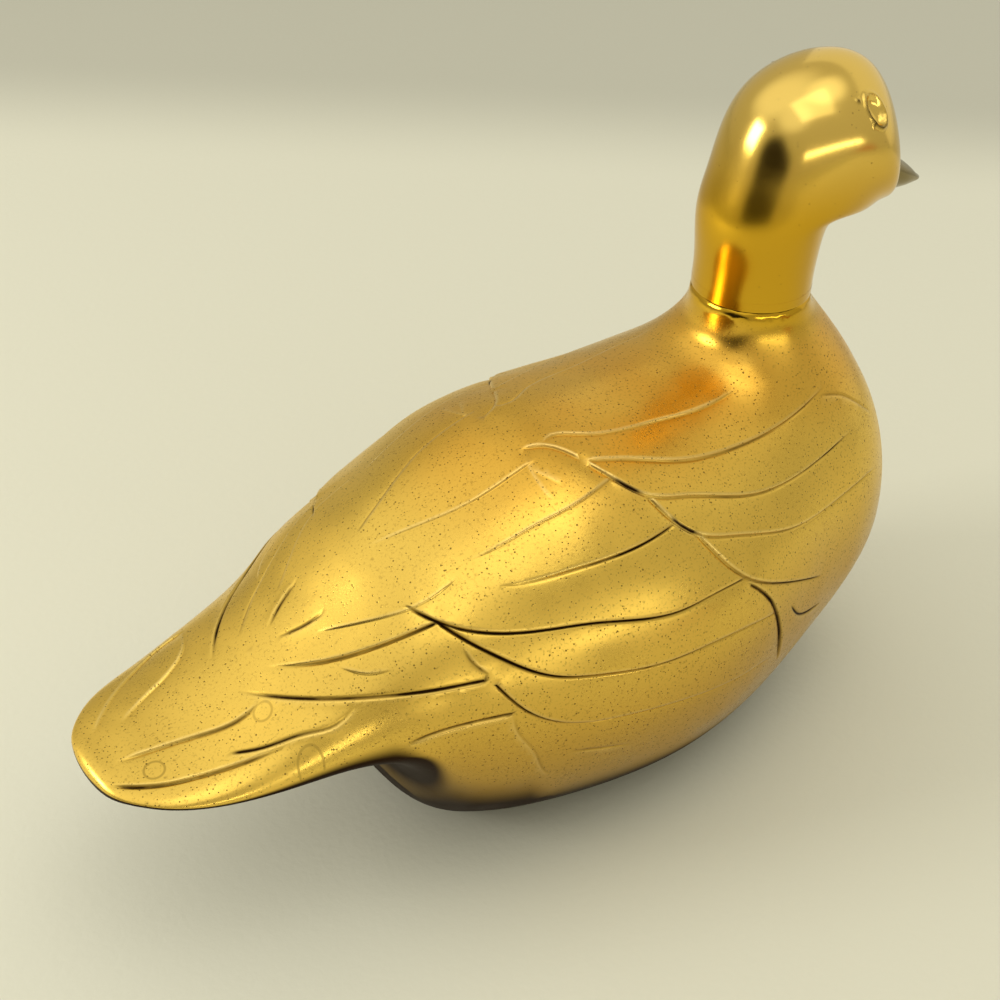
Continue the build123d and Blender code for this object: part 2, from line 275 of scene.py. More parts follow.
# Fine grain and soft waves of the satin brass: waves per metre, detail, height in millimetres
GRAIN = (2600, 2, 0.010)
WAVES = (170, 2, 0.035)
# Roughness of clean brass
SATIN_ROUGHNESS = 0.24
POLISHED_ROUGHNESS = 0.15

# The room's top is this much brighter, and its patches have azimuth, elevation, half angle,
# softness, strength and tint
ROOM_TOP_SHARE = 1.15
ROOM_PATCHES = [
    (125, 62, 28, 14, 1.05, (1.0, 0.98, 0.90)),
    (-32, 75, 14, 8, 1.3, (1.0, 0.98, 0.90)),
    (-164, 9, 17, 7, 0.02, (1.0, 0.8, 0.6)),
    (-152, 0, 15, 7, 0.02, (1.0, 0.8, 0.6)),
    (-150, 54, 17, 9, 1.0, (1.0, 0.98, 0.90)),
    (-62, -8, 9, 7, 0.45, (1.0, 0.35, 0.10)),
]

# Place that the lamps shine at, then for each its azimuth, elevation, distance, width and
# height, power and tint
LAMP_AIM = Vector((0, 0, 0.06))
LAMPS = [
    ("window", 154, 24, 0.9, (0.30, 0.34), 3.2, (1.0, 0.98, 0.90)),
    ("lamp", -90, 15, 0.9, (0.90, 0.08), 0.85, (1.0, 0.97, 0.86)),
    ("ceiling", -100, 72, 1.0, (0.6, 0.6), 0.9, (1.0, 0.98, 0.92)),
    ("fill", 10, 24, 1.0, (1.4, 1.0), 1.1, (1.0, 0.98, 0.92)),
]


class DuckSizes(bpy.types.PropertyGroup):
    """Sizes of the duck"""
    back_height: FloatProperty(
        name="Back height", description="Height of the highest part of the wings above the floor",
        default=0.084, unit="LENGTH")
    body_width: FloatProperty(
        name="Body width", description="Width that the body's sections are shares of",
        default=0.092, unit="LENGTH")
    neck_radius: FloatProperty(
        name="Neck radius", description="Radius of the neck at its seam",
        default=(seam_high.x - seam_low.x) / 2, unit="LENGTH")
    head_width: FloatProperty(
        name="Head width", description="Width across the cheeks",
        default=0.0344, unit="LENGTH")
    eye_height: FloatProperty(
        name="Eye height", description="Height of the raised oval of an eye",
        default=0.0085, unit="LENGTH")
    eye_length: FloatProperty(
        name="Eye length", description="Length of the raised oval of an eye",
        default=0.0064, unit="LENGTH")
    cells_round: IntProperty(
        name="Cells round the body", description="Faces round the body before feathers are cut",
        default=168, min=32)
    body_rings: IntProperty(
        name="Rings along the body", description="Rings of faces from the tail to the breast",
        default=184, min=32)
    head_cells_round: IntProperty(
        name="Cells round the head", description="Faces round the head", default=270, min=32)
    head_rings: IntProperty(
        name="Rings along the head", description="Rings of faces from the neck to the bill",
        default=330, min=32)


class FeatherSizes(bpy.types.PropertyGroup):
    """Sizes of the feather relief"""
    step_height: FloatProperty(
        name="Step height", description="How far a feather's edge stands above the next feather",
        default=0.00068, unit="LENGTH")
    groove_depth: FloatProperty(
        name="Groove depth", description="Depth of the groove along a feather's edge",
        default=0.00045, unit="LENGTH")
    groove_width: FloatProperty(
        name="Groove width", description="Width of the groove along a feather's edge",
        default=0.0007, unit="LENGTH")


class DuckColours(bpy.types.PropertyGroup):
    """Colours of the duck and the studio"""
    brass: FloatVectorProperty(
        name="Brass", description="Clean brass", subtype="COLOR", default=(0.84, 0.56, 0.10))
    polished: FloatVectorProperty(
        name="Polished brass", description="Mirror polished brass of the head", subtype="COLOR",
        default=(0.85, 0.59, 0.14))
    # Painted reflection: darker, deeper brass for the dim surroundings mirrored low on the neck, round its
    # root and in its seam
    shaded_neck_brass: FloatVectorProperty(
        name="Deep brass", description="Deeper brass of the neck", subtype="COLOR",
        default=(0.64, 0.37, 0.022))
    warm_brass: FloatVectorProperty(
        name="Warm brass", description="Brass that has coloured with age", subtype="COLOR",
        default=(0.76, 0.41, 0.05))
    # Painted shade: the flanks and breast are made darker towards the bottom
    shaded_flank_brass: FloatVectorProperty(
        name="Flank brass", description="Darker brass of the flanks and the breast", subtype="COLOR",
        default=(0.53, 0.31, 0.05))
    # Partly real wear and partly a painted highlight: paler than clean brass along the feathers' edges
    worn_sheen_brass: FloatVectorProperty(
        name="Worn brass", description="Brass that is worn bright on the feathers' edges", subtype="COLOR",
        default=(1.0, 0.80, 0.36))
    # Brown tarnish, also used as the colour of the painted shade underneath and at the stern
    tarnish: FloatVectorProperty(
        name="Tarnish", description="Brown tarnish in the grooves", subtype="COLOR",
        default=(0.024, 0.010, 0.003))
    # Painted reflection: the bill's dark grey green stands in for the dark surroundings it mirrors
    bill: FloatVectorProperty(
        name="Bill", description="Dull grey green brass of the bill", subtype="COLOR",
        default=(0.17, 0.15, 0.07))
    felt: FloatVectorProperty(
        name="Felt", description="Felt under the base", subtype="COLOR", default=(0.012, 0.024, 0.016))
    floor: FloatVectorProperty(
        name="Floor", description="Floor under the duck", subtype="COLOR", default=(0.73, 0.72, 0.60))
    backdrop: FloatVectorProperty(
        name="Backdrop", description="What is seen past the floor", subtype="COLOR",
        default=(0.55, 0.53, 0.42))
    room: FloatVectorProperty(
        name="Room", description="Dim room that the brass mirrors", subtype="COLOR",
        default=(0.49, 0.465, 0.365))


def smooth_curve(rows, reach):
    """A function of 0 to 1 that runs through the rows on natural cubic splines, at an even pace.

    reach is what a full share of each column measures, so that the pace is that of real lengths."""
    rows = np.array(rows, dtype=float)
    gaps = np.linalg.norm(np.diff(rows * np.array(reach), axis=0), axis=1)
    knots = np.concatenate([[0.0], np.cumsum(gaps)])
    count = len(rows)
    system = np.eye(count)
    slopes = np.zeros_like(rows)
    for i in range(1, count - 1):
        system[i, i - 1:i + 2] = gaps[i - 1], 2 * (gaps[i - 1] + gaps[i]), gaps[i]
        slopes[i] = 6 * ((rows[i + 1] - rows[i]) / gaps[i] - (rows[i] - rows[i - 1]) / gaps[i - 1])
    bends = np.linalg.solve(system, slopes)

    def at(places, first=0, last=count - 1):
        """Values at places from 0, the first row, to 1, the last."""
        travel = knots[first] + np.asarray(places) * (knots[last] - knots[first])
        i = np.clip(np.searchsorted(knots, travel) - 1, 0, count - 2)
        gap = gaps[i][:, None]
        b = (travel - knots[i])[:, None] / gap
        a = 1 - b
        return (a * rows[i] + b * rows[i + 1]
                + ((a**3 - a) * bends[i] + (b**3 - b) * bends[i + 1]) * gap**2 / 6)

    return at


def past_end(row, *pairs):
    """A section past a closed end: pairs of columns change places and the half width its sign."""
    row = list(row)
    for first, second in pairs:
        row[first], row[second] = row[second], row[first]
    row[-1] = -row[-1]
    return tuple(row)


def body_curve(sizes):
    """Body sections from the tail's tip to the breast, rounded over at both ends."""
    tail = [past_end(row, (1, 2)) for row in BODY_SHARES[3:0:-1]]
    breast = [past_end(row, (1, 2)) for row in BODY_SHARES[-2:-5:-1]]
    length = body_high.x - body_low.x
    curve = smooth_curve(
        tail + BODY_SHARES + breast,
        (length, sizes.back_height / 2, sizes.back_height / 2, 0, sizes.body_width))
    scale = np.array([length, sizes.back_height, sizes.back_height, sizes.back_height, sizes.body_width])
    shift = np.array([body_low.x, 0, 0, 0, 0])
    return lambda places: curve(places, len(tail), len(tail) + len(BODY_SHARES) - 1) * scale + shift


def head_curve(sizes):
    """Head sections from the neck's seam to the bill's tip."""
    tip = [past_end(row, (0, 2), (1, 3)) for row in HEAD_SHARES[-2:-5:-1]]
    reach = head_high.x - joint.x
    height = head_high.z - joint.z
    curve = smooth_curve(HEAD_SHARES + tip, (reach, height, reach, height, sizes.head_width / 2))
    scale = np.array([reach, height, reach, height, sizes.head_width / 2])
    shift = np.array([joint.x, joint.z, joint.x, joint.z, 0])
    return lambda places: curve(places, 0, len(HEAD_SHARES) - 1) * scale + shift


def directions_of(bm):
    """Unit vectors from the centre to each vertex of a ball that is still being divided."""
    places = np.array([vertex.co[:] for vertex in bm.verts])
    return places / np.linalg.norm(places, axis=1)[:, None]


def body_places(directions, sizes, curve):
    """Where the ball's vertices lie on the body: on its sections, then on the neck's flare."""
    travel = np.arccos(np.clip(directions[:, 2], -1, 1)) / math.pi
    turn = np.arctan2(directions[:, 1], directions[:, 0])
    x, top, low, belt, half = curve(travel).T
    up = np.sin(turn)
    y = half * np.cos(turn)
    z = belt + np.where(up > 0, top - belt, belt - low) * up
    return flared(np.column_stack([x, y, z]), up > 0, curve)


def flared(places, upper, curve):
    """The body's places with those round the neck's axis drawn up to the neck's seam."""
    radius = (seam_high.x - seam_low.x) / 2
    x = places[:, 0] - joint.x
    out = np.hypot(x, places[:, 1])
    ahead = x / np.maximum(out, MM / 100)
    side = np.array(FLARE_MM["side"]) * MM
    towards_front = (np.array(FLARE_MM["front"]) * MM - side) * np.clip(ahead, 0, 1)[:, None] ** 2
    towards_back = (np.array(FLARE_MM["back"]) * MM - side) * np.clip(-ahead, 0, 1)[:, None] ** 2
    start, low_handle, high_handle = (side + towards_front + towards_back).T
    chosen = upper & (out < start)
    table = curve(np.linspace(0, 1, HULL_POINTS))

    def hull_height(px, py):
        top, belt, half = (np.interp(px, table[:, 0], table[:, i]) for i in (1, 3, 4))
        return belt + (top - belt) * np.sqrt(np.clip(1 - (py / half) ** 2, 0, 1))

    start, low_handle, high_handle, out = (a[chosen] for a in (start, low_handle, high_handle, out))
    way = np.column_stack([x[chosen], places[chosen, 1]]) / np.maximum(out, MM / 100)[:, None]

    def rim(reach):
        return hull_height(joint.x + way[:, 0] * reach, way[:, 1] * reach)

    step = MM / 10
    rise = (rim(start - step) - rim(start + step)) / (2 * step)
    run = 1 / np.hypot(1, rise)
    # Outer part of the disc becomes the flare, and its middle the flat cap under the seam
    cap_share = 0.45
    t = np.clip((1 - out / start) / (1 - cap_share), 0, 1)
    seam_z = seam_low.z
    reach = (
        (1 - t)**3 * start + 3 * (1 - t)**2 * t * (start - low_handle * run)
        + 3 * (1 - t) * t**2 * radius + t**3 * radius)
    height = (
        (1 - t)**3 * rim(start) + 3 * (1 - t)**2 * t * (rim(start) + low_handle * run * rise)
        + 3 * (1 - t) * t**2 * (seam_z - high_handle) + t**3 * seam_z)
    cap = np.clip(out / start / cap_share, 0, 1)
    reach = np.where(t < 1, reach, cap * radius)
    result = places.copy()
    result[chosen, 0] = joint.x + way[:, 0] * reach
    result[chosen, 1] = way[:, 1] * reach
    result[chosen, 2] = height
    return result


def feather_paths():
    """Every feather edge with its drawing plane's up and facing, and whether both sides have it."""
    wing_up = (0, math.sin(WING_SLANT), math.cos(WING_SLANT))
    wing_facing = (0, -math.cos(WING_SLANT), math.sin(WING_SLANT))
    for lines, up, facing, mirrored in (
            (WING_LINES_MM, wing_up, wing_facing, True),
            (TAIL_LINES_MM, (0, 1, 0), (0, 0, 1), False)):
        for kind, height, darkness, fades, points in lines:
            path = smooth_curve(points, (1, 1))(np.linspace(0, 1, PATH_POINTS)) * MM
            path[:, 0] += body_low.x
            yield {
                "kind": kind, "height": height, "darkness": darkness, "fades": fades, "path": path,
                "up": np.array(up), "facing": np.array(facing), "mirrored": mirrored}


def near_path(feather, places, normals, margin):
    """The vertices near a feather edge, their signed distance over the surface, its weight and darkness."""
    path, up, facing = feather["path"], feather["up"], feather["facing"]
    if feather["mirrored"]:
        side = np.where(places[:, 1:2] > 0, -1.0, 1.0)
        flip = np.hstack([np.ones_like(side), side, np.ones_like(side)])
        places = places * flip
        normals = normals * flip
    flat = np.column_stack([places[:, 0], places @ up])
    towards = normals @ facing
    near = np.nonzero(
        (towards > LEAST_FACING) & np.all(flat > path.min(axis=0) - margin, axis=1)
        & np.all(flat < path.max(axis=0) + margin, axis=1))[0]
    starts = path[:-1]
    spans = path[1:] - path[:-1]
    lengths = np.linalg.norm(spans, axis=1)
    offset = flat[near][:, None] - starts
    share = np.clip((offset * spans).sum(axis=2) / lengths**2, 0, 1)
    away = offset - share[:, :, None] * spans
    best = np.argmin((away**2).sum(axis=2), axis=1)
    rows = np.arange(len(near))
    away = away[rows, best]
    along = (np.cumsum(lengths) - lengths)[best] + share[rows, best] * lengths[best]
    # The step on the drawing plane, carried to the surface along the plane's facing
    step = np.outer(away[:, 0], (1, 0, 0)) + np.outer(away[:, 1], up)
    lift = -(step * normals[near]).sum(axis=1) / towards[near]
    length = np.linalg.norm(step + np.outer(lift, facing), axis=1)
    sign = np.where(spans[best, 0] * away[:, 1] < spans[best, 1] * away[:, 0], -1, 1)
    whole = lengths.sum()
    fade_in, fade_out = feather["fades"]
    fade = np.clip(along / (fade_in * MM), 0, 1) * np.clip((whole - along) / (fade_out * MM), 0, 1)
    dark_first, dark_last = feather["darkness"]
    dark = dark_first + (dark_last - dark_first) * along / whole
    return near, length * sign, feather["height"] * fade * fade * (3 - 2 * fade), dark


def measured(bm):
    """Places and normals of the mesh's vertices."""
    mesh = bpy.data.meshes.new("measure")
    bm.to_mesh(mesh)
    places = np.empty(len(mesh.vertices) * 3)
    normals = np.empty(len(mesh.vertices) * 3)
    mesh.vertices.foreach_get("co", places)
    mesh.vertex_normals.foreach_get("vector", normals)
    bpy.data.meshes.remove(mesh)
    return places.reshape(-1, 3), normals.reshape(-1, 3)


def scored(bm, feather, offsets):
    """Cuts the faces along a feather edge, at each offset from it, so that its relief has vertices there."""
    near, distance, weight, _ = near_path(feather, *measured(bm), max(offsets) + CUT_MARGIN_MM * MM)
    stored = bm.verts.layers.float["distance"]
    marked = bm.verts.layers.int["marked"]
    bm.verts.ensure_lookup_table()
    for i, d in zip(near, distance):
        bm.verts[i][stored] = d
    inside = [int(i) for i, w in zip(near, weight) if w > 0.01]
    for i in inside:
        bm.verts[i][marked] = 1
    snap = 0.06 * MM
    for offset in offsets:
        shares = {}
        for i in inside:
            first = bm.verts[i][stored] - offset
            if first > snap:
                for edge in bm.verts[i].link_edges:
                    other = edge.other_vert(bm.verts[i])
                    last = other[stored] - offset
                    if other[marked] and last < -snap:
                        across = first / (first - last)
                        shares[edge] = across if edge.verts[0] == bm.verts[i] else 1 - across
        joined = [i for i in inside if abs(bm.verts[i][stored] - offset) <= snap]
        count = len(bm.verts)
        bmesh.ops.bisect_edges(bm, edges=list(shares), cuts=1, edge_percents=shares)
        bm.verts.ensure_lookup_table()
        fresh = list(range(count, len(bm.verts)))
        for i in fresh:
            bm.verts[i][stored] = offset
            bm.verts[i][marked] = 1
        inside += fresh
        bmesh.ops.connect_verts(bm, verts=[bm.verts[i] for i in joined + fresh])
    for i in inside:
        bm.verts[i][marked] = 0


def hump(share, middle, spread):
    """1 at the middle, and less the further a share lies from it."""
    return np.exp(-((share - middle) / spread) ** 2)


def feather_relief(places, normals, feathers):
    """Height of the relief, tarnish in its grooves, and wear with a painted highlight on its edges, for each
    vertex.
    """
    height, tarnish, wear_and_sheen = np.zeros((3, len(places)))
    width = feathers.groove_width
    for feather in feather_paths():
        near, d, weight, dark = near_path(feather, places, normals, RELIEF_MARGIN_MM * MM)
        share = d / width
        if feather["kind"] == "step":
            fall = np.where(d > 0, np.exp(-share / 6), np.exp(share / 3))
            rise = feathers.step_height / 2 * np.tanh(share / 0.25) * fall
            groove = hump(share, -0.3, 0.32)
            stain = hump(share, -0.25, 0.38)
            worn_and_sheen = hump(share, 0.35, 0.35)
        else:
            rise = feathers.step_height / 4 * hump(share, -1, 0.7)
            groove = hump(share, 0, 0.4)
            stain = hump(share, 0, 0.45)
            worn_and_sheen = hump(share, -0.8, 0.4)
        height[near] += (rise - feathers.groove_depth * groove * (0.15 + 0.85 * dark)) * weight
        tarnish[near] = np.maximum(tarnish[near], stain * np.clip(1.3 * weight, 0, 1) * dark)
        wear_and_sheen[near] = np.maximum(wear_and_sheen[near], worn_and_sheen * np.clip(1.3 * weight, 0, 1) * (1 - 0.7 * dark))
    return height, tarnish, wear_and_sheen


def add_piece(name, bm, material, node):
    """A finished piece at the origin, in place of a node of the frame."""
    mesh = bpy.data.meshes.new(name)
    bm.to_mesh(mesh)
    bm.free()
    mesh.shade_smooth()
    mesh.materials.append(material)
    piece = bpy.data.objects.new(name, mesh)
    bpy.context.scene.collection.objects.link(piece)
    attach(piece, "root")
    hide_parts(node)
    return piece


def mark_sharp(edges):
    """Keeps shading from running over the edges that bend sharply."""
    for edge in edges:
        if edge.calc_face_angle(0) > SHARP_ANGLE:
            edge.smooth = False


def turned_outwards(bm):
    """Turns the faces of a closed mesh outwards."""
    bmesh.ops.recalc_face_normals(bm, faces=bm.faces)


def packed_close(bm):
    """Puts the mesh's parts in unbroken order, so that new vertices come after the old ones."""
    mesh = bpy.data.meshes.new("order")
    bm.to_mesh(mesh)
    bm.clear()
    bm.from_mesh(mesh)
    bpy.data.meshes.remove(mesh)


def place_vertices(bm, places):
    """Moves each vertex to its place."""
    for vertex, place in zip(bm.verts, places):
        vertex.co = place


def make_body_mesh(sizes, feathers):
    """The body casting: a ball drawn out to the body's sections, cut and raised along the feathers."""
    bm = bmesh.new()
    bmesh.ops.create_uvsphere(
        bm, u_segments=sizes.cells_round, v_segments=sizes.body_rings, radius=1)
    place_vertices(bm, body_places(directions_of(bm), sizes, body_curve(sizes)))
    turned_outwards(bm)
    packed_close(bm)
    bm.verts.layers.int.new("marked")
    for name in ("distance", "tarnish", "wear_and_sheen", "upward"):
        bm.verts.layers.float.new(name)
    for feather in feather_paths():
        scored(bm, feather, [share * feathers.groove_width for share in RELIEF_OFFSETS[feather["kind"]]])
    places, normals = measured(bm)
    height, tarnish, wear_and_sheen = feather_relief(places, normals, feathers)
    place_vertices(bm, places + normals * height[:, None])
    for name, values in (("tarnish", tarnish), ("wear_and_sheen", wear_and_sheen), ("upward", normals[:, 2])):
        layer = bm.verts.layers.float[name]
        for vertex, value in zip(bm.verts, values):
            vertex[layer] = value
    cut = bmesh.ops.bisect_plane(
        bm, geom=bm.verts[:] + bm.edges[:] + bm.faces[:], plane_co=(0, 0, body_low.z),
        plane_no=(0, 0, 1), clear_inner=True)
    rim = [item for item in cut["geom_cut"] if isinstance(item, bmesh.types.BMEdge)]
    bmesh.ops.holes_fill(bm, edges=rim, sides=0)
    for edge in rim:
        edge.smooth = False
    return bm


def eye_shape(places, sizes):
    """How far each place of the head is moved for its eye, and how dark it is there."""
    near = np.where(places[:, 1:2] > 0, places * (1, -1, 1), places)
    facing = np.array(EYE_FACING) / np.linalg.norm(EYE_FACING)
    forward = np.array((-facing[1], facing[0], 0)) / np.hypot(facing[0], facing[1])
    upward = np.cross(facing, forward)
    along_share, up_share, out_share = EYE_SHARES
    centre = np.array((
        joint.x + along_share * (head_high.x - joint.x), -out_share * sizes.head_width / 2,
        joint.z + up_share * (head_high.z - joint.z)))
    offset = near - centre
    outside = offset @ facing > -sizes.eye_height / 2
    along = offset @ forward / (sizes.eye_length * EYE_BALL_SHARE / 2)
    up = offset @ upward / (sizes.eye_height * EYE_BALL_SHARE / 2)
    reach = np.hypot(along, up)
    dome = np.sqrt(np.clip(1 - reach**2, 0, 1))
    groove = hump(reach, 1.14, 0.12)
    behind = np.clip(0.5 - 0.35 * along - 0.35 * up, 0, 1)
    depth_ahead, depth_behind = EYE_GROOVE_MM
    rise = EYE_BALL_MM * dome - (depth_ahead + (depth_behind - depth_ahead) * behind) * groove
    dark = 0.9 * groove * behind
    for place, spread, depth in EYE_MARKS:
        mark = hump(along, place[0], spread[0]) * hump(up, place[1], spread[1])
        rise -= depth * mark
        dark = np.maximum(dark, mark)
    return np.where(outside, rise, 0) * MM, np.where(outside, dark, 0)


def make_head_mesh(sizes):
    """Head, neck and bill: a ball drawn out to the head's sections, flat under the neck."""
    curve = head_curve(sizes)
    bm = bmesh.new()
    rings = sizes.head_rings
    bmesh.ops.create_uvsphere(bm, u_segments=sizes.head_cells_round, v_segments=rings, radius=1)
    directions = directions_of(bm)
    travel = np.arccos(np.clip(-directions[:, 2], -1, 1)) / math.pi
    turn = np.arctan2(directions[:, 1], directions[:, 0])
    cap = 1 / rings
    rows = curve(np.clip((travel - cap) / (1 - cap), 0, 1))
    top_x, top_z, under_x, under_z, half = rows.T
    lean = np.cos(turn)
    places = np.column_stack([
        (top_x + under_x) / 2 + (under_x - top_x) / 2 * lean,
        half * np.sin(turn),
        (top_z + under_z) / 2 + (under_z - top_z) / 2 * lean])
    places[travel < cap / 2] = joint
    place_vertices(bm, places)
    turned_outwards(bm)
    packed_close(bm)
    stain = bm.verts.layers.float.new("tarnish")
    places, normals = measured(bm)
    rise, dark = eye_shape(places, sizes)
    place_vertices(bm, places + normals * rise[:, None])
    for vertex, stained in zip(bm.verts, dark):
        vertex[stain] = stained
    mark_sharp([
        edge for edge in bm.edges if all(abs(vertex.co.z - joint.z) < MM / 100 for vertex in edge.verts)])
    return bm


def make_seam_mesh(sizes):
    """The neck's filler: a ring with a three-sided section, turned round the neck's axis."""
    bm = bmesh.new()
    depth = (seam_high.z - seam_low.z) / 2
    rim = [
        bm.verts.new(joint + Vector((sizes.neck_radius - inwards * depth, 0, up * depth)))
        for inwards, up in ((0, -1), (0, 1), (1, 0))]
    edges = [bm.edges.new((rim[i], rim[i - 1])) for i in range(len(rim))]
    bmesh.ops.spin(
        bm, geom=rim + edges, cent=joint, axis=(0, 0, 1), angle=math.tau, steps=SEAM_SEGMENTS,
        use_merge=True)
    turned_outwards(bm)
    mark_sharp(bm.edges)
    return bm


def make_felt_mesh():
    """The felt pad: a flat pad with a full oval outline, as big as the felt in the frame."""
    size = felt_high - felt_low
    centre = (felt_high + felt_low) / 2
    bm = bmesh.new()
    bmesh.ops.create_circle(bm, cap_ends=True, segments=FELT_SEGMENTS, radius=1)
    for vertex in bm.verts:
        x, y = (math.copysign(abs(share) ** FELT_SQUARENESS, share) for share in vertex.co.xy)
        vertex.co = (centre.x + size.x / 2 * x, size.y / 2 * y, felt_low.z)
    made = bmesh.ops.extrude_face_region(bm, geom=bm.faces[:])
    top = [item for item in made["geom"] if isinstance(item, bmesh.types.BMVert)]
    bmesh.ops.translate(bm, verts=top, vec=(0, 0, size.z))
    turned_outwards(bm)
    mark_sharp(bm.edges)
    return bm


class NodeTree:
    """A node tree that is filled by naming each node's kind and what goes into it."""

    def __init__(self, tree):
        self.tree = tree

    def join(self, value, socket):
        """Puts a constant or another node's output into a socket."""
        if isinstance(value, bpy.types.NodeSocket):
            self.tree.links.new(value, socket)
        else:
            socket.default_value = value

    def add(self, kind, *values, settings=None, **named):
        """A node whose inputs are filled in order or by name."""
        node = self.tree.nodes.new(kind)
        for name, value in (settings or {}).items():
            setattr(node, name, value)
        for key, value in (*enumerate(values), *named.items()):
            self.join(value, node.inputs[key])
        return node

    def math(self, operation, first, *others):
        """The operation on one value, or on the first two and then on each further one."""
        settings = {"operation": operation}
        if not others:
            return self.add("ShaderNodeMath", first, settings=settings).outputs[0]
        for other in others:
            first = self.add("ShaderNodeMath", first, other, settings=settings).outputs[0]
        return first

    def rising(self, value, first, last):
        """0 below first, 1 above last, and smooth between them."""
        return self.add(
            "ShaderNodeMapRange", value, first, last,
            settings={"interpolation_type": "SMOOTHSTEP"}).outputs[0]

    def falling(self, value, first, last):
        """1 below first, 0 above last, and smooth between them."""
        return self.math("SUBTRACT", 1.0, self.rising(value, first, last))

    def scaled(self, value, factor, start=0.0):
        """The value times a factor, from a start."""
        return self.math("ADD", self.math("MULTIPLY", value, factor), start)

    def mix(self, share, first, last):
        """The colour that lies a share of the way from the first to the last."""
        node = self.add("ShaderNodeMix", Factor=share, settings={"data_type": "RGBA"})
        for socket, colour in ((node.inputs[6], first), (node.inputs[7], last)):
            self.join(colour if isinstance(colour, bpy.types.NodeSocket) else (*colour, 1), socket)
        return node.outputs[2]

    def place(self):
        """Object coordinates."""
        return self.add("ShaderNodeTexCoord").outputs["Object"]

    def axes(self):
        """Object coordinates along, across and up, each by itself."""
        return self.add("ShaderNodeSeparateXYZ", self.place()).outputs[:]

    def noise(self, scale, detail):
        """Noise from 0 to 1 over the object, with a scale in waves per metre."""
        return self.add("ShaderNodeTexNoise", Vector=self.place(), Scale=scale, Detail=detail).outputs[0]

    def relief(self, scale, detail, height_mm):
        """Noise as a height in metres."""
        return self.math("MULTIPLY", self.noise(scale, detail), height_mm * MM)

    def attribute(self, name):
        """A value that the piece's vertices hold."""
        return self.add("ShaderNodeAttribute", settings={"attribute_name": name}).outputs["Fac"]

    def group(self, name, *values):
        """What one of the shared effects puts out."""
        return self.add(
            "ShaderNodeGroup", *values, settings={"node_tree": bpy.data.node_groups[name]}).outputs[0]

    def bump(self, height, shader, strength=1.0):
        """Raises the shader's surface by a height in metres."""
        node = self.add("ShaderNodeBump", Height=height, Distance=1.0, Strength=strength)
        self.join(node.outputs[0], shader.inputs["Normal"])


def effect_group(name, output, inputs=()):
    """A node group with number inputs and one number output, and its group input and output nodes."""
    tree = bpy.data.node_groups.new(name, "ShaderNodeTree")
    for label in inputs:
        tree.interface.new_socket(label, in_out="INPUT", socket_type="NodeSocketFloat")
    tree.interface.new_socket(output, in_out="OUTPUT", socket_type="NodeSocketFloat")
    nodes = NodeTree(tree)
    return nodes, nodes.add("NodeGroupInput").outputs, nodes.add("NodeGroupOutput").inputs[output]


def make_casting_pits():
    """Fine pits of the casting: 1 in a pit, for a given share of the places where one can be."""
    nodes, given, result = effect_group("casting pits", "Pits", ("Amount",))
    place = nodes.place()
    pits = []
    for scale, size in PIT_SIZES:
        cells = nodes.add("ShaderNodeTexVoronoi", Vector=place, Scale=scale)
        chance = nodes.add("ShaderNodeSeparateColor", cells.outputs["Color"]).outputs[0]
        chosen = nodes.math("GREATER_THAN", chance, nodes.math("SUBTRACT", 1.0, given["Amount"]))
        spot = nodes.falling(cells.outputs["Distance"], size / 2, size)
        pits.append(nodes.math("MULTIPLY", spot, chosen))
    nodes.join(nodes.math("MAXIMUM", *pits), result)


def make_patches(name, scale, detail, low, high):
    """Soft patches from 0 to 1 over the object."""
    nodes, _, result = effect_group(name, "Patches")
    nodes.join(nodes.rising(nodes.noise(scale, detail), low, high), result)


def make_effects():
    """The effects that the brasses share, made once."""
    if "casting pits" not in bpy.data.node_groups:
        make_casting_pits()
        make_patches("age patches", 26, 3, 0.42, 0.68)
        make_patches("polish smears", 60, 4, 0.35, 0.7)


def shader_of(name):
    """A new material, its nodes and its shader."""
    material = bpy.data.materials.new(name)
    material.use_nodes = True
    return material, NodeTree(material.node_tree), material.node_tree.nodes["Principled BSDF"]


def tail_rings(nodes, x, y):
    """Thin rings round the places on the tail where drops have dried."""
    spot = nodes.add("ShaderNodeCombineXYZ", x, y).outputs[0]
    rings = []
    for ring_x, ring_y, radius in STAIN_RINGS_MM:
        middle = (body_low.x + ring_x * MM, ring_y * MM, 0)
        apart = nodes.add("ShaderNodeVectorMath", spot, middle, settings={"operation": "DISTANCE"})
        line = nodes.math("ABSOLUTE", nodes.math("SUBTRACT", apart.outputs["Value"], radius * MM))
        rings.append(nodes.falling(line, *(width * MM for width in STAIN_LINE_MM)))
    return nodes.math("MULTIPLY", nodes.math("MAXIMUM", *rings), STAIN_DARKNESS)


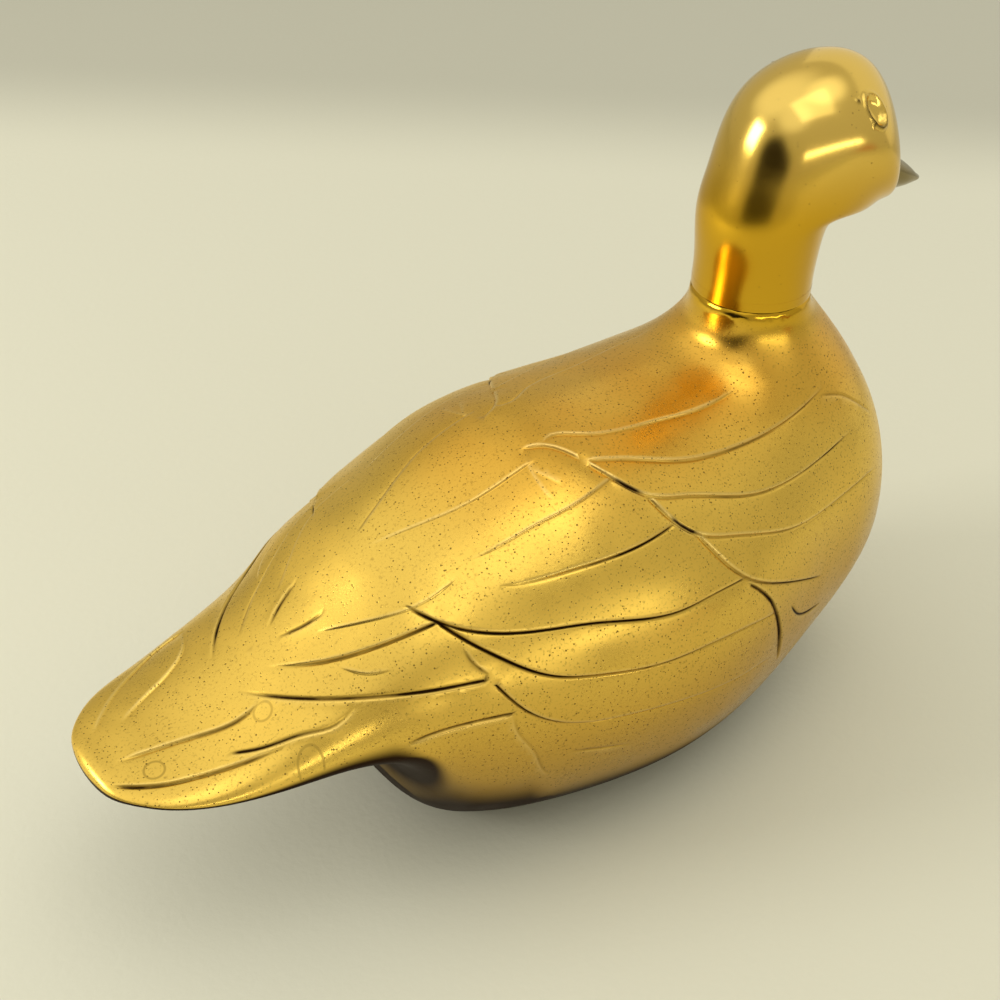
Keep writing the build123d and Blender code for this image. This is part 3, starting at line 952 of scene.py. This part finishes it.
def painted_underside_shade(nodes, x, z, smears):
    """Painted shade and dark reflection, with some tarnish, on what faces down and on the rim round the
    base, which is highest at the stern.
    """
    tail = nodes.falling(x, *TAIL_END)
    upward = nodes.math("SUBTRACT", nodes.attribute("upward"), nodes.math("MULTIPLY", tail, 0.5))
    hull, stern = UNDERSIDE_SHADE_HEIGHTS
    reach = nodes.scaled(nodes.falling(x, *STERN_SHADE_END), stern - hull, hull)
    # Painted shade on what faces down, low on the hull and higher at the stern
    facing_down_shade = nodes.math(
        "MULTIPLY", nodes.falling(upward, -0.5, -0.2),
        nodes.falling(nodes.math("SUBTRACT", z, reach), 0.0, UNDERSIDE_SHADE_FADE))
    # Painted shade along the rim round the base, highest at the stern
    hull, stern = RIM_SHADE_HEIGHTS
    rim = nodes.scaled(nodes.falling(x, *STERN_RIM_SHADE_END), stern - hull, hull)
    rim = nodes.math("ADD", rim, nodes.math("MULTIPLY", smears, 3 * MM))
    low = nodes.falling(nodes.math("SUBTRACT", z, rim), -1 * MM, 3 * MM)
    return nodes.math("MAXIMUM", facing_down_shade, low)


def body_brass(colours):
    """Satin cast brass, dark in the feather grooves, with painted shade underneath and on the lower flanks,
    a painted highlight on worn feather edges, and polished round the neck in the neck's darker painted
    colour.
    """
    make_effects()
    material, nodes, shader = shader_of("satin cast brass")
    x, y, z = nodes.axes()
    patches = nodes.group("age patches")
    smears = nodes.group("polish smears")
    polished = nodes.rising(nodes.math("ADD", z, nodes.math("MULTIPLY", smears, 2 * MM)), *POLISH_RISE)
    satin = nodes.math("SUBTRACT", 1.0, polished)
    pits = nodes.math("MULTIPLY", nodes.group("casting pits", 0.5), satin)
    sand = nodes.math("MULTIPLY", nodes.rising(nodes.noise(1900, 3), 0.52, 0.80), 0.42, satin)

    back = nodes.math("MULTIPLY", nodes.rising(z, *WARM_BACK_RISE), nodes.scaled(patches, 0.4, 0.55), satin)
    # Painted shade: darker towards the bottom of the flanks and breast
    flank_shade = nodes.math("MULTIPLY", nodes.falling(z, *FLANK_SHADE_RISE), nodes.rising(x, *FLANK_SHADE_START), 0.75)
    tone = nodes.mix(back, colours.brass, colours.warm_brass)
    tone = nodes.mix(flank_shade, tone, colours.shaded_flank_brass)
    # The polished ring round the neck's root takes the neck's darker painted reflection colour
    tone = nodes.mix(polished, tone, colours.shaded_neck_brass)
    # Real wear together with a painted highlight along the feathers' edges
    tone = nodes.mix(nodes.math("MULTIPLY", nodes.attribute("wear_and_sheen"), 0.5), tone, colours.worn_sheen_brass)

    stained = nodes.math("MULTIPLY", nodes.attribute("tarnish"), nodes.scaled(smears, 1.2, 0.7))
    # Real tarnish, drop rings, sand specks and pits, together with the painted shade underneath
    dark = nodes.math(
        "MAXIMUM", stained, tail_rings(nodes, x, y), sand, painted_underside_shade(nodes, x, z, smears),
        nodes.math("MULTIPLY", pits, 0.75))
    dark = nodes.math("MINIMUM", dark, 1.0)
    nodes.join(nodes.mix(dark, tone, colours.tarnish), shader.inputs["Base Color"])

    roughness = nodes.math(
        "MULTIPLY", nodes.scaled(smears, 0.14, SATIN_ROUGHNESS), nodes.scaled(polished, -0.62, 1.0))
    nodes.join(nodes.math("ADD", roughness, nodes.math("MULTIPLY", dark, 0.3)), shader.inputs["Roughness"])
    shader.inputs["Metallic"].default_value = 1
    relief = nodes.math("MULTIPLY", nodes.math("ADD", nodes.relief(*GRAIN), nodes.relief(*WAVES)), satin)
    nodes.bump(nodes.math("SUBTRACT", relief, nodes.math("MULTIPLY", pits, PIT_DEPTH_MM * MM)), shader)
    return material


def head_brass(colours):
    """Polished brass with faint smears, dark in the grooves of the eyes, with a painted darker reflection
    low on the neck and a painted dark reflection on the bill.
    """
    make_effects()
    material, nodes, shader = shader_of("polished brass")
    x, _, z = nodes.axes()
    smears = nodes.group("polish smears")
    # Painted reflection: darker brass low on the neck, paler towards the crown
    metal = nodes.mix(nodes.rising(z, *HEAD_SHADE_RISE), colours.shaded_neck_brass, colours.polished)
    # Painted reflection on the bill
    bill = nodes.math("MULTIPLY", nodes.rising(x, *BILL_REFLECTION_START), 0.85)
    metal = nodes.mix(bill, metal, colours.bill)
    pits = nodes.math("MULTIPLY", nodes.group("casting pits", 0.05), 0.5)
    dark = nodes.math("MAXIMUM", nodes.attribute("tarnish"), pits)
    nodes.join(nodes.mix(dark, metal, colours.tarnish), shader.inputs["Base Color"])
    roughness = nodes.scaled(smears, 0.06, POLISHED_ROUGHNESS)
    nodes.join(nodes.math("ADD", roughness, nodes.math("MULTIPLY", dark, 0.2)), shader.inputs["Roughness"])
    shader.inputs["Metallic"].default_value = 1
    return material


def seam_brass(colours):
    """The filler in the neck's seam."""
    make_effects()
    material, nodes, shader = shader_of("braze")
    roughness = nodes.scaled(nodes.group("polish smears"), 0.06, POLISHED_ROUGHNESS)
    nodes.join(roughness, shader.inputs["Roughness"])
    # The neck's darker painted reflection colour
    shader.inputs["Base Color"].default_value = (*colours.shaded_neck_brass, 1)
    shader.inputs["Metallic"].default_value = 1
    return material


def felt_cloth(colours):
    """Dark felt with a fibrous surface."""
    material, nodes, shader = shader_of("felt")
    fibres = nodes.noise(1500, 4)
    pale_fibres = [2 * c for c in colours.felt]
    colour = nodes.mix(nodes.rising(fibres, 0.35, 0.7), colours.felt, pale_fibres)
    nodes.join(colour, shader.inputs["Base Color"])
    shader.inputs["Roughness"].default_value = 0.95
    nodes.bump(nodes.math("MULTIPLY", fibres, 0.15 * MM), shader)
    return material


def direction(azimuth, elevation):
    """The unit vector towards an azimuth and an elevation in degrees."""
    azimuth, elevation = math.radians(azimuth), math.radians(elevation)
    return Vector((
        math.cos(azimuth) * math.cos(elevation), math.sin(azimuth) * math.cos(elevation),
        math.sin(elevation)))


def floor_cover(colours):
    """A pale floor with a fine weave, with painted shade that darkens it further behind the duck."""
    material, nodes, shader = shader_of("pale floor")
    nodes.bump(nodes.relief(*FLOOR_WEAVE), shader, 0.5)
    # Painted shade: the floor darkens further behind the duck
    away = nodes.add(
        "ShaderNodeVectorMath", nodes.place(), direction(CAMERA_AZIMUTH, 0)[:],
        settings={"operation": "DOT_PRODUCT"}).outputs["Value"]
    shaded_floor = [FLOOR_SHADE_SHARE * c for c in colours.floor]
    colour = nodes.mix(nodes.rising(away, *FLOOR_SHADE_RANGE), colours.floor, shaded_floor)
    nodes.join(colour, shader.inputs["Base Color"])
    shader.inputs["Roughness"].default_value = 0.8
    return material


class BRASSDUCK_OT_body(bpy.types.Operator):
    """Makes the body casting with its wings, tail and feathers"""
    bl_idname = "brassduck.body"
    bl_label = "Body casting"

    def execute(self, context):
        scene = context.scene
        bm = make_body_mesh(scene.duck_sizes, scene.duck_feathers)
        add_piece("cast_body", bm, body_brass(scene.duck_colours), "body_casting")
        return {"FINISHED"}


class BRASSDUCK_OT_head(bpy.types.Operator):
    """Makes the polished head, neck and bill"""
    bl_idname = "brassduck.head"
    bl_label = "Head and neck"

    def execute(self, context):
        scene = context.scene
        bm = make_head_mesh(scene.duck_sizes)
        add_piece("polished_head", bm, head_brass(scene.duck_colours), "head_casting")
        return {"FINISHED"}


class BRASSDUCK_OT_seam(bpy.types.Operator):
    """Makes the filler in the seam round the neck"""
    bl_idname = "brassduck.seam"
    bl_label = "Neck seam"

    def execute(self, context):
        bm = make_seam_mesh(context.scene.duck_sizes)
        add_piece("neck_filler", bm, seam_brass(context.scene.duck_colours), "neck_braze")
        return {"FINISHED"}


class BRASSDUCK_OT_felt(bpy.types.Operator):
    """Makes the felt under the base"""
    bl_idname = "brassduck.felt"
    bl_label = "Felt"

    def execute(self, context):
        bm = make_felt_mesh()
        area = sum(face.calc_area() for face in bm.faces if face.normal.z > 0.9)
        piece = add_piece("base_felt", bm, felt_cloth(context.scene.duck_colours), "felt_pad")
        return {"FINISHED"}


class BRASSDUCK_OT_studio(bpy.types.Operator):
    """Makes the floor, the lamps, the world and the camera"""
    bl_idname = "brassduck.studio"
    bl_label = "Studio"

    def execute(self, context):
        scene = context.scene
        self.floor(scene)
        self.world(scene)
        self.lamps(scene)
        self.camera(scene)
        scene.view_settings.view_transform = "Standard"
        return {"FINISHED"}

    def floor(self, scene):
        """A round floor under the duck."""
        bm = bmesh.new()
        bmesh.ops.create_circle(bm, cap_ends=True, segments=FLOOR_SEGMENTS, radius=FLOOR_RADIUS)
        mesh = bpy.data.meshes.new("floor")
        bm.to_mesh(mesh)
        bm.free()
        mesh.materials.append(floor_cover(scene.duck_colours))
        floor = bpy.data.objects.new("floor", mesh)
        scene.collection.objects.link(floor)
        floor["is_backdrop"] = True

    def world(self, scene):
        """A dim room with soft bright and dark patches for the brass to mirror."""
        world = bpy.data.worlds.new("studio")
        world.use_nodes = True
        scene.world = world
        nodes = NodeTree(world.node_tree)
        look = nodes.add("ShaderNodeTexCoord").outputs["Generated"]
        room = scene.duck_colours.room
        up = nodes.add("ShaderNodeSeparateXYZ", look).outputs[2]
        colour = nodes.mix(nodes.rising(up, -0.3, 0.9), room, [ROOM_TOP_SHARE * c for c in room])
        for azimuth, elevation, wide, soft, strength, tint in ROOM_PATCHES:
            aim = direction(azimuth, elevation)[:]
            near = nodes.add("ShaderNodeVectorMath", look, aim, settings={"operation": "DOT_PRODUCT"})
            edges = (math.cos(math.radians(angle)) for angle in (wide + soft, wide - soft))
            inside = nodes.rising(near.outputs["Value"], *edges)
            colour = nodes.mix(inside, colour, [strength * c for c in tint])
        rays = nodes.add("ShaderNodeLightPath").outputs
        colour = nodes.mix(rays["Is Camera Ray"], colour, scene.duck_colours.backdrop)
        background = world.node_tree.nodes["Background"]
        nodes.join(colour, background.inputs["Color"])
        background.inputs["Strength"].default_value = 1.0

    def lamps(self, scene):
        """Soft lamps that all shine at the duck."""
        for name, azimuth, elevation, away, size, power, tint in LAMPS:
            aim = direction(azimuth, elevation)
            lamp = bpy.data.lights.new(name, "AREA")
            lamp.shape = "RECTANGLE"
            lamp.size, lamp.size_y = size
            lamp.energy = power
            lamp.color = tint
            holder = bpy.data.objects.new(name, lamp)
            holder.location = LAMP_AIM + aim * away
            holder.rotation_euler = (-aim).to_track_quat("-Z", "Y").to_euler()
            scene.collection.objects.link(holder)

    def camera(self, scene):
        """A camera with the photograph's view."""
        roll = math.radians(CAMERA_ROLL)
        forward = direction(CAMERA_AZIMUTH, -CAMERA_ELEVATION)
        right = forward.cross(Vector((0, 0, 1))).normalized()
        up = right.cross(forward)
        turned_right = right * math.cos(roll) + up * math.sin(roll)
        turned_up = up * math.cos(roll) - right * math.sin(roll)
        camera = bpy.data.objects.new("camera", bpy.data.cameras.new("camera"))
        place = (Vector(CAMERA_TARGET_MM) - forward * CAMERA_DISTANCE_MM) * MM
        camera.matrix_world = Matrix.Translation(place) @ Matrix(
            (turned_right, turned_up, -forward)).transposed().to_4x4()
        camera.data.sensor_width = SENSOR_MM
        camera.data.lens = CAMERA_FOCUS_PX / PHOTO_PX * SENSOR_MM
        camera.data.clip_start = 0.01
        scene.collection.objects.link(camera)
        scene.camera = camera


class BRASSDUCK_PT_panel(bpy.types.Panel):
    """Sizes, colours and pieces of the duck"""
    bl_idname = "BRASSDUCK_PT_panel"
    bl_label = "Brass Duck"
    bl_space_type = "VIEW_3D"
    bl_region_type = "UI"
    bl_category = "Brass Duck"

    def draw(self, context):
        layout = self.layout
        for group in (context.scene.duck_sizes, context.scene.duck_feathers, context.scene.duck_colours):
            box = layout.box()
            for name in group.__annotations__:
                box.prop(group, name)
        for operator in OPERATORS:
            layout.operator(operator.bl_idname)


OPERATORS = (
    BRASSDUCK_OT_body, BRASSDUCK_OT_head, BRASSDUCK_OT_seam, BRASSDUCK_OT_felt, BRASSDUCK_OT_studio)
GROUPS = {"duck_sizes": DuckSizes, "duck_feathers": FeatherSizes, "duck_colours": DuckColours}


def register():
    for part in (*GROUPS.values(), *OPERATORS, BRASSDUCK_PT_panel):
        bpy.utils.register_class(part)
    for name, group in GROUPS.items():
        setattr(bpy.types.Scene, name, PointerProperty(type=group))


def unregister():
    for name in GROUPS:
        delattr(bpy.types.Scene, name)
    for part in reversed((*GROUPS.values(), *OPERATORS, BRASSDUCK_PT_panel)):
        bpy.utils.unregister_class(part)


def main():
    register()
    bpy.ops.brassduck.body()
    bpy.ops.brassduck.head()
    bpy.ops.brassduck.seam()
    bpy.ops.brassduck.felt()
    bpy.ops.brassduck.studio()
    boxes = {"cad": cad_bounds, "visual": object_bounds()}
    {name: [[float(v) for v in corner] for corner in box] for name, box in boxes.items()}


if __name__ == "__main__":
    main()
